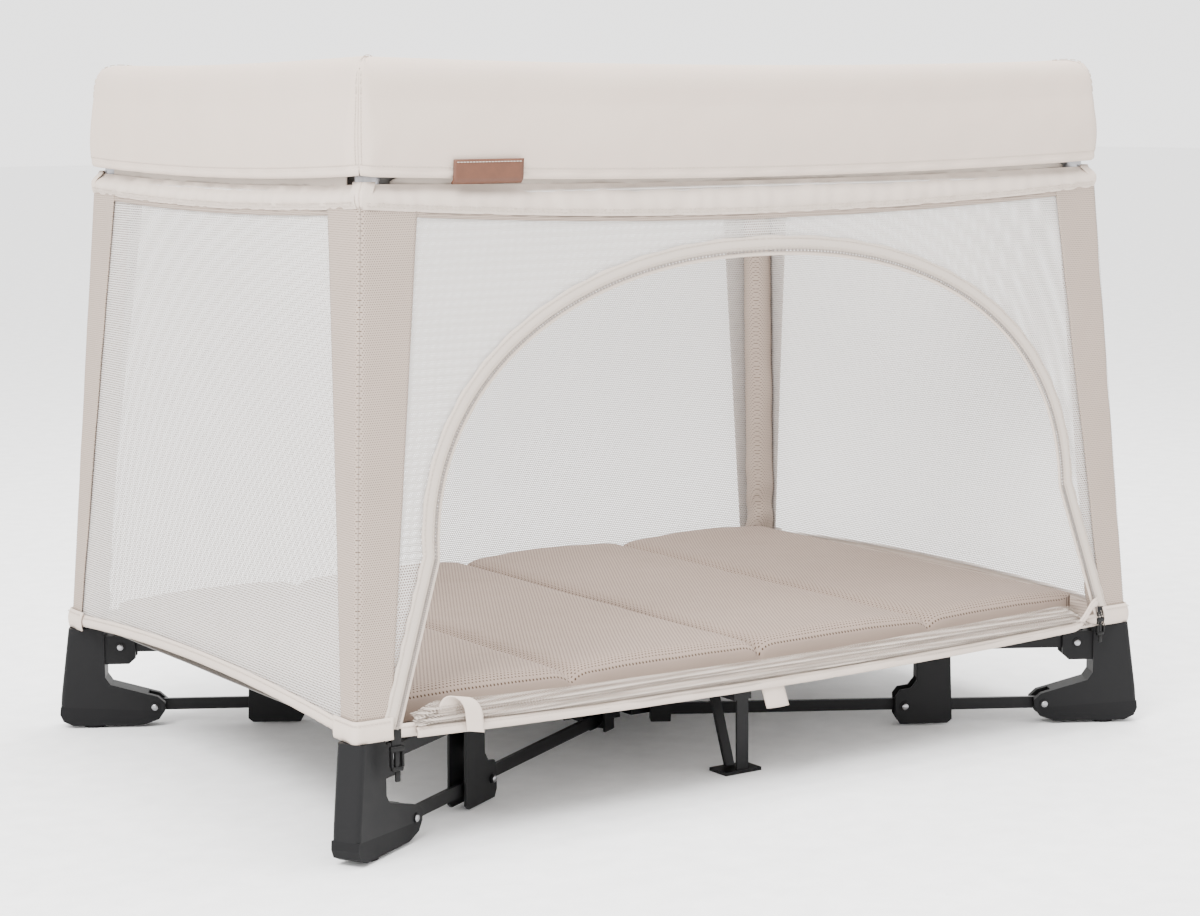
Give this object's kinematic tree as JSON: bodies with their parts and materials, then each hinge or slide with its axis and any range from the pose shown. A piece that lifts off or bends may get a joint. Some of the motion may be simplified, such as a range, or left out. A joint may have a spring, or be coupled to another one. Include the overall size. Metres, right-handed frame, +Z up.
{
  "type": "playpen",
  "caption": "Folding rectangular playpen with see-through mesh walls, an arched zip doorway, a padded top rail cover, a flat mattress and a central pull-up fold hub.",
  "frame": {"origin": "on the floor, under the centre of the playpen", "axes": "+X along the long side to the right, +Y to the back, away from the doorway, +Z up"},
  "size_m": [1.1112, 0.758, 0.8],
  "materials": {
    "sole_rubber": "matt, fine texture",
    "charcoal_plastic": "fine matt texture",
    "dark_steel": "dark satin powder coat",
    "frame_tube": "satin anodised",
    "handle_plastic": "matt",
    "mattress_fabric": "knitted spacer mesh over padding",
    "mesh_fabric": "open see-through mesh with woven corners",
    "cover_fabric": "padded woven cloth with stitched hems",
    "flap_mesh": "gathered mesh",
    "clip_plastic": "black"
  },
  "bodies": {
    "corner_back_right": {"foot_back_right": "charcoal_plastic", "foot_sole_back_right": "sole_rubber", "corner_post_back_right": "frame_tube", "rail_corner_back_right": "charcoal_plastic"},
    "corner_back_left": {"foot_back_left": "charcoal_plastic", "foot_sole_back_left": "sole_rubber", "corner_post_back_left": "frame_tube", "rail_corner_back_left": "charcoal_plastic"},
    "corner_front_right": {"foot_front_right": "charcoal_plastic", "foot_sole_front_right": "sole_rubber", "corner_post_front_right": "frame_tube", "rail_corner_front_right": "charcoal_plastic", "zip_clip_right": "clip_plastic"},
    "corner_front_left": {"foot_front_left": "charcoal_plastic", "foot_sole_front_left": "sole_rubber", "corner_post_front_left": "frame_tube", "rail_corner_front_left": "charcoal_plastic", "zip_clip_left": "clip_plastic"},
    "outer_tube_back_right": {"outer_tube_back_right": "dark_steel"},
    "outer_bar_back_right": {"outer_bar_back_right": "dark_steel"},
    "inner_leg_back_right": {"inner_leg_back_right": "charcoal_plastic"},
    "inner_tube_back_right": {"inner_tube_back_right": "dark_steel"},
    "inner_bar_back_right": {"inner_bar_back_right": "dark_steel"},
    "outer_tube_back_left": {"outer_tube_back_left": "dark_steel"},
    "outer_bar_back_left": {"outer_bar_back_left": "dark_steel"},
    "inner_leg_back_left": {"inner_leg_back_left": "charcoal_plastic"},
    "inner_tube_back_left": {"inner_tube_back_left": "dark_steel"},
    "inner_bar_back_left": {"inner_bar_back_left": "dark_steel"},
    "outer_tube_front_right": {"outer_tube_front_right": "dark_steel"},
    "outer_bar_front_right": {"outer_bar_front_right": "dark_steel"},
    "inner_leg_front_right": {"inner_leg_front_right": "charcoal_plastic"},
    "inner_tube_front_right": {"inner_tube_front_right": "dark_steel"},
    "inner_bar_front_right": {"inner_bar_front_right": "dark_steel"},
    "outer_tube_front_left": {"outer_tube_front_left": "dark_steel"},
    "outer_bar_front_left": {"outer_bar_front_left": "dark_steel"},
    "inner_leg_front_left": {"inner_leg_front_left": "charcoal_plastic"},
    "inner_tube_front_left": {"inner_tube_front_left": "dark_steel"},
    "inner_bar_front_left": {"inner_bar_front_left": "dark_steel"},
    "enclosure": {"mesh_enclosure": "mesh_fabric", "rail_cover": "cover_fabric", "door_flap": "flap_mesh"},
    "hub": {"hub_body": "charcoal_plastic"},
    "release_handle": {"release_handle": "handle_plastic"},
    "mattress": {"mattress": "mattress_fabric"},
    "back_rail_right": {"back_rail_right": "frame_tube"},
    "back_rail_left": {"back_rail_left": "frame_tube"},
    "back_rail_latch": {"back_rail_latch": "charcoal_plastic"},
    "front_rail_right": {"front_rail_right": "frame_tube"},
    "front_rail_left": {"front_rail_left": "frame_tube"},
    "front_rail_latch": {"front_rail_latch": "charcoal_plastic"},
    "right_rail_back": {"right_rail_back": "frame_tube"},
    "right_rail_front": {"right_rail_front": "frame_tube"},
    "right_rail_latch": {"right_rail_latch": "charcoal_plastic"},
    "left_rail_back": {"left_rail_back": "frame_tube"},
    "left_rail_front": {"left_rail_front": "frame_tube"},
    "left_rail_latch": {"left_rail_latch": "charcoal_plastic"},
    "side_arm_back": {"side_arm_back": "dark_steel"},
    "side_leg_back": {"side_leg_back": "dark_steel"},
    "side_arm_front": {"side_arm_front": "dark_steel"},
    "side_leg_front": {"side_leg_front": "dark_steel"}
  },
  "joints": [
    {"name": "frame_fold", "type": "slide", "parent": "enclosure", "child": "hub", "axis": [0, 0, 1], "range_m": [0, 0.4581], "deforming": ["mesh_enclosure", "rail_cover", "door_flap", "mattress"]},
    {"name": "inner_tube_turn_front_left", "type": "hinge", "parent": "hub", "child": "inner_tube_front_left", "pos_m": [-0.06779, -0.08585, 0.1], "axis": [0.5031, -0.8642, 0], "range_deg": [0, 80]},
    {"name": "leg_turn_front_left", "type": "hinge", "parent": "inner_tube_front_left", "child": "inner_leg_front_left", "pos_m": [-0.322, -0.23382, 0.1], "axis": [0.5031, -0.8642, 0], "range_deg": [-80, 0]},
    {"name": "outer_tube_turn_front_left", "type": "hinge", "parent": "inner_leg_front_left", "child": "outer_tube_front_left", "pos_m": [-0.33497, -0.24137, 0.1], "axis": [0.5031, -0.8642, 0], "range_deg": [0, 80]},
    {"name": "corner_turn_front_left", "type": "hinge", "parent": "outer_tube_front_left", "child": "corner_front_left", "pos_m": [-0.48275, -0.32739, 0.1], "axis": [0.5031, -0.8642, 0], "range_deg": [-80, 0]},
    {"name": "inner_tube_turn_front_right", "type": "hinge", "parent": "hub", "child": "inner_tube_front_right", "pos_m": [0.06779, -0.08585, 0.1], "axis": [0.5031, 0.8642, 0], "range_deg": [0, 80]},
    {"name": "leg_turn_front_right", "type": "hinge", "parent": "inner_tube_front_right", "child": "inner_leg_front_right", "pos_m": [0.322, -0.23382, 0.1], "axis": [0.5031, 0.8642, 0], "range_deg": [-80, 0]},
    {"name": "outer_tube_turn_front_right", "type": "hinge", "parent": "inner_leg_front_right", "child": "outer_tube_front_right", "pos_m": [0.33497, -0.24137, 0.1], "axis": [0.5031, 0.8642, 0], "range_deg": [0, 80]},
    {"name": "corner_turn_front_right", "type": "hinge", "parent": "outer_tube_front_right", "child": "corner_front_right", "pos_m": [0.48275, -0.32739, 0.1], "axis": [0.5031, 0.8642, 0], "range_deg": [-80, 0]},
    {"name": "inner_tube_turn_back_left", "type": "hinge", "parent": "hub", "child": "inner_tube_back_left", "pos_m": [-0.06779, 0.08585, 0.1], "axis": [-0.5031, -0.8642, 0], "range_deg": [0, 80]},
    {"name": "leg_turn_back_left", "type": "hinge", "parent": "inner_tube_back_left", "child": "inner_leg_back_left", "pos_m": [-0.322, 0.23382, 0.1], "axis": [-0.5031, -0.8642, 0], "range_deg": [-80, 0]},
    {"name": "outer_tube_turn_back_left", "type": "hinge", "parent": "inner_leg_back_left", "child": "outer_tube_back_left", "pos_m": [-0.33497, 0.24137, 0.1], "axis": [-0.5031, -0.8642, 0], "range_deg": [0, 80]},
    {"name": "corner_turn_back_left", "type": "hinge", "parent": "outer_tube_back_left", "child": "corner_back_left", "pos_m": [-0.48275, 0.32739, 0.1], "axis": [-0.5031, -0.8642, 0], "range_deg": [-80, 0]},
    {"name": "inner_tube_turn_back_right", "type": "hinge", "parent": "hub", "child": "inner_tube_back_right", "pos_m": [0.06779, 0.08585, 0.1], "axis": [-0.5031, 0.8642, 0], "range_deg": [0, 80]},
    {"name": "leg_turn_back_right", "type": "hinge", "parent": "inner_tube_back_right", "child": "inner_leg_back_right", "pos_m": [0.322, 0.23382, 0.1], "axis": [-0.5031, 0.8642, 0], "range_deg": [-80, 0]},
    {"name": "outer_tube_turn_back_right", "type": "hinge", "parent": "inner_leg_back_right", "child": "outer_tube_back_right", "pos_m": [0.33497, 0.24137, 0.1], "axis": [-0.5031, 0.8642, 0], "range_deg": [0, 80]},
    {"name": "corner_turn_back_right", "type": "hinge", "parent": "outer_tube_back_right", "child": "corner_back_right", "pos_m": [0.48275, 0.32739, 0.1], "axis": [-0.5031, 0.8642, 0], "range_deg": [-80, 0]},
    {"name": "outer_bar_turn_back_right", "type": "hinge", "parent": "inner_leg_back_right", "child": "outer_bar_back_right", "pos_m": [0.3004, 0.22124, 0.025], "axis": [-0.5031, 0.8642, 0], "range_deg": [0, 80]},
    {"name": "inner_bar_turn_back_right", "type": "hinge", "parent": "inner_leg_back_right", "child": "inner_bar_back_right", "pos_m": [0.3004, 0.22124, 0.025], "axis": [-0.5031, 0.8642, 0], "range_deg": [0, 80]},
    {"name": "outer_bar_turn_back_left", "type": "hinge", "parent": "inner_leg_back_left", "child": "outer_bar_back_left", "pos_m": [-0.3004, 0.22124, 0.025], "axis": [-0.5031, -0.8642, 0], "range_deg": [0, 80]},
    {"name": "inner_bar_turn_back_left", "type": "hinge", "parent": "inner_leg_back_left", "child": "inner_bar_back_left", "pos_m": [-0.3004, 0.22124, 0.025], "axis": [-0.5031, -0.8642, 0], "range_deg": [0, 80]},
    {"name": "outer_bar_turn_front_right", "type": "hinge", "parent": "inner_leg_front_right", "child": "outer_bar_front_right", "pos_m": [0.3004, -0.22124, 0.025], "axis": [0.5031, 0.8642, 0], "range_deg": [0, 80]},
    {"name": "inner_bar_turn_front_right", "type": "hinge", "parent": "inner_leg_front_right", "child": "inner_bar_front_right", "pos_m": [0.3004, -0.22124, 0.025], "axis": [0.5031, 0.8642, 0], "range_deg": [0, 80]},
    {"name": "outer_bar_turn_front_left", "type": "hinge", "parent": "inner_leg_front_left", "child": "outer_bar_front_left", "pos_m": [-0.3004, -0.22124, 0.025], "axis": [0.5031, -0.8642, 0], "range_deg": [0, 80]},
    {"name": "inner_bar_turn_front_left", "type": "hinge", "parent": "inner_leg_front_left", "child": "inner_bar_front_left", "pos_m": [-0.3004, -0.22124, 0.025], "axis": [0.5031, -0.8642, 0], "range_deg": [0, 80]},
    {"name": "back_rail_right_fold", "type": "hinge", "parent": "corner_back_right", "child": "back_rail_right", "pos_m": [0.427, 0.304, 0.775], "axis": [0, -1, 0], "range_deg": [0, 80]},
    {"name": "back_rail_left_fold", "type": "hinge", "parent": "corner_back_left", "child": "back_rail_left", "pos_m": [-0.427, 0.304, 0.775], "axis": [0, 1, 0], "range_deg": [0, 80]},
    {"name": "back_rail_latch_turn", "type": "hinge", "parent": "back_rail_left", "child": "back_rail_latch", "pos_m": [-0.025, 0.304, 0.775], "axis": [0, 1, 0], "range_deg": [-80, 0]},
    {"name": "front_rail_right_fold", "type": "hinge", "parent": "corner_front_right", "child": "front_rail_right", "pos_m": [0.427, -0.304, 0.775], "axis": [0, -1, 0], "range_deg": [0, 80]},
    {"name": "front_rail_left_fold", "type": "hinge", "parent": "corner_front_left", "child": "front_rail_left", "pos_m": [-0.427, -0.304, 0.775], "axis": [0, 1, 0], "range_deg": [0, 80]},
    {"name": "front_rail_latch_turn", "type": "hinge", "parent": "front_rail_left", "child": "front_rail_latch", "pos_m": [-0.025, -0.304, 0.775], "axis": [0, 1, 0], "range_deg": [-80, 0]},
    {"name": "right_rail_back_fold", "type": "hinge", "parent": "corner_back_right", "child": "right_rail_back", "pos_m": [0.472, 0.259, 0.775], "axis": [1, 0, 0], "range_deg": [0, 80]},
    {"name": "right_rail_front_fold", "type": "hinge", "parent": "corner_front_right", "child": "right_rail_front", "pos_m": [0.472, -0.259, 0.775], "axis": [-1, 0, 0], "range_deg": [0, 80]},
    {"name": "right_rail_latch_turn", "type": "hinge", "parent": "right_rail_front", "child": "right_rail_latch", "pos_m": [0.472, -0.025, 0.775], "axis": [-1, 0, 0], "range_deg": [-80, 0]},
    {"name": "left_rail_back_fold", "type": "hinge", "parent": "corner_back_left", "child": "left_rail_back", "pos_m": [-0.472, 0.259, 0.775], "axis": [1, 0, 0], "range_deg": [0, 80]},
    {"name": "left_rail_front_fold", "type": "hinge", "parent": "corner_front_left", "child": "left_rail_front", "pos_m": [-0.472, -0.259, 0.775], "axis": [-1, 0, 0], "range_deg": [0, 80]},
    {"name": "left_rail_latch_turn", "type": "hinge", "parent": "left_rail_front", "child": "left_rail_latch", "pos_m": [-0.472, -0.025, 0.775], "axis": [-1, 0, 0], "range_deg": [-80, 0]},
    {"name": "side_arm_turn_back", "type": "hinge", "parent": "hub", "child": "side_arm_back", "pos_m": [0, 0.04, 0.1], "axis": [-1, 0, 0], "range_deg": [0, 80]},
    {"name": "side_leg_turn_back", "type": "hinge", "parent": "side_arm_back", "child": "side_leg_back", "pos_m": [0, 0.275, 0.1], "axis": [-1, 0, 0], "range_deg": [-80, 0]},
    {"name": "side_arm_turn_front", "type": "hinge", "parent": "hub", "child": "side_arm_front", "pos_m": [0, -0.04, 0.1], "axis": [1, 0, 0], "range_deg": [0, 80]},
    {"name": "side_leg_turn_front", "type": "hinge", "parent": "side_arm_front", "child": "side_leg_front", "pos_m": [0, -0.275, 0.1], "axis": [1, 0, 0], "range_deg": [-80, 0]},
    {"name": "release_pull", "type": "slide", "parent": "hub", "child": "release_handle", "axis": [0, 0, 1], "range_m": [0, 0.01], "stiffness_N_per_m": 600},
    {"name": "mattress_lift", "type": "slide", "parent": "hub", "child": "mattress", "axis": [0, 0, 1], "range_m": [0, 0.262]}
  ],
  "couplings": [
    {"joint": "inner_tube_turn_front_left", "follows": "frame_fold", "rad_per_m": 3.0479},
    {"joint": "leg_turn_front_left", "follows": "frame_fold", "rad_per_m": -3.0479},
    {"joint": "outer_tube_turn_front_left", "follows": "frame_fold", "rad_per_m": 3.0479},
    {"joint": "corner_turn_front_left", "follows": "frame_fold", "rad_per_m": -3.0479},
    {"joint": "inner_tube_turn_front_right", "follows": "frame_fold", "rad_per_m": 3.0479},
    {"joint": "leg_turn_front_right", "follows": "frame_fold", "rad_per_m": -3.0479},
    {"joint": "outer_tube_turn_front_right", "follows": "frame_fold", "rad_per_m": 3.0479},
    {"joint": "corner_turn_front_right", "follows": "frame_fold", "rad_per_m": -3.0479},
    {"joint": "inner_tube_turn_back_left", "follows": "frame_fold", "rad_per_m": 3.0479},
    {"joint": "leg_turn_back_left", "follows": "frame_fold", "rad_per_m": -3.0479},
    {"joint": "outer_tube_turn_back_left", "follows": "frame_fold", "rad_per_m": 3.0479},
    {"joint": "corner_turn_back_left", "follows": "frame_fold", "rad_per_m": -3.0479},
    {"joint": "inner_tube_turn_back_right", "follows": "frame_fold", "rad_per_m": 3.0479},
    {"joint": "leg_turn_back_right", "follows": "frame_fold", "rad_per_m": -3.0479},
    {"joint": "outer_tube_turn_back_right", "follows": "frame_fold", "rad_per_m": 3.0479},
    {"joint": "corner_turn_back_right", "follows": "frame_fold", "rad_per_m": -3.0479},
    {"joint": "outer_bar_turn_back_right", "follows": "frame_fold", "rad_per_m": 3.0479},
    {"joint": "inner_bar_turn_back_right", "follows": "frame_fold", "rad_per_m": 3.0479},
    {"joint": "outer_bar_turn_back_left", "follows": "frame_fold", "rad_per_m": 3.0479},
    {"joint": "inner_bar_turn_back_left", "follows": "frame_fold", "rad_per_m": 3.0479},
    {"joint": "outer_bar_turn_front_right", "follows": "frame_fold", "rad_per_m": 3.0479},
    {"joint": "inner_bar_turn_front_right", "follows": "frame_fold", "rad_per_m": 3.0479},
    {"joint": "outer_bar_turn_front_left", "follows": "frame_fold", "rad_per_m": 3.0479},
    {"joint": "inner_bar_turn_front_left", "follows": "frame_fold", "rad_per_m": 3.0479},
    {"joint": "back_rail_right_fold", "follows": "frame_fold", "rad_per_m": 3.0479},
    {"joint": "back_rail_left_fold", "follows": "frame_fold", "rad_per_m": 3.0479},
    {"joint": "back_rail_latch_turn", "follows": "frame_fold", "rad_per_m": -3.0479},
    {"joint": "front_rail_right_fold", "follows": "frame_fold", "rad_per_m": 3.0479},
    {"joint": "front_rail_left_fold", "follows": "frame_fold", "rad_per_m": 3.0479},
    {"joint": "front_rail_latch_turn", "follows": "frame_fold", "rad_per_m": -3.0479},
    {"joint": "right_rail_back_fold", "follows": "frame_fold", "rad_per_m": 3.0479},
    {"joint": "right_rail_front_fold", "follows": "frame_fold", "rad_per_m": 3.0479},
    {"joint": "right_rail_latch_turn", "follows": "frame_fold", "rad_per_m": -3.0479},
    {"joint": "left_rail_back_fold", "follows": "frame_fold", "rad_per_m": 3.0479},
    {"joint": "left_rail_front_fold", "follows": "frame_fold", "rad_per_m": 3.0479},
    {"joint": "left_rail_latch_turn", "follows": "frame_fold", "rad_per_m": -3.0479},
    {"joint": "side_arm_turn_back", "follows": "frame_fold", "rad_per_m": 3.0479},
    {"joint": "side_leg_turn_back", "follows": "frame_fold", "rad_per_m": -3.0479},
    {"joint": "side_arm_turn_front", "follows": "frame_fold", "rad_per_m": 3.0479},
    {"joint": "side_leg_turn_front", "follows": "frame_fold", "rad_per_m": -3.0479},
    {"joint": "mattress_lift", "follows": "frame_fold", "ratio": 0.56756}
  ]
}
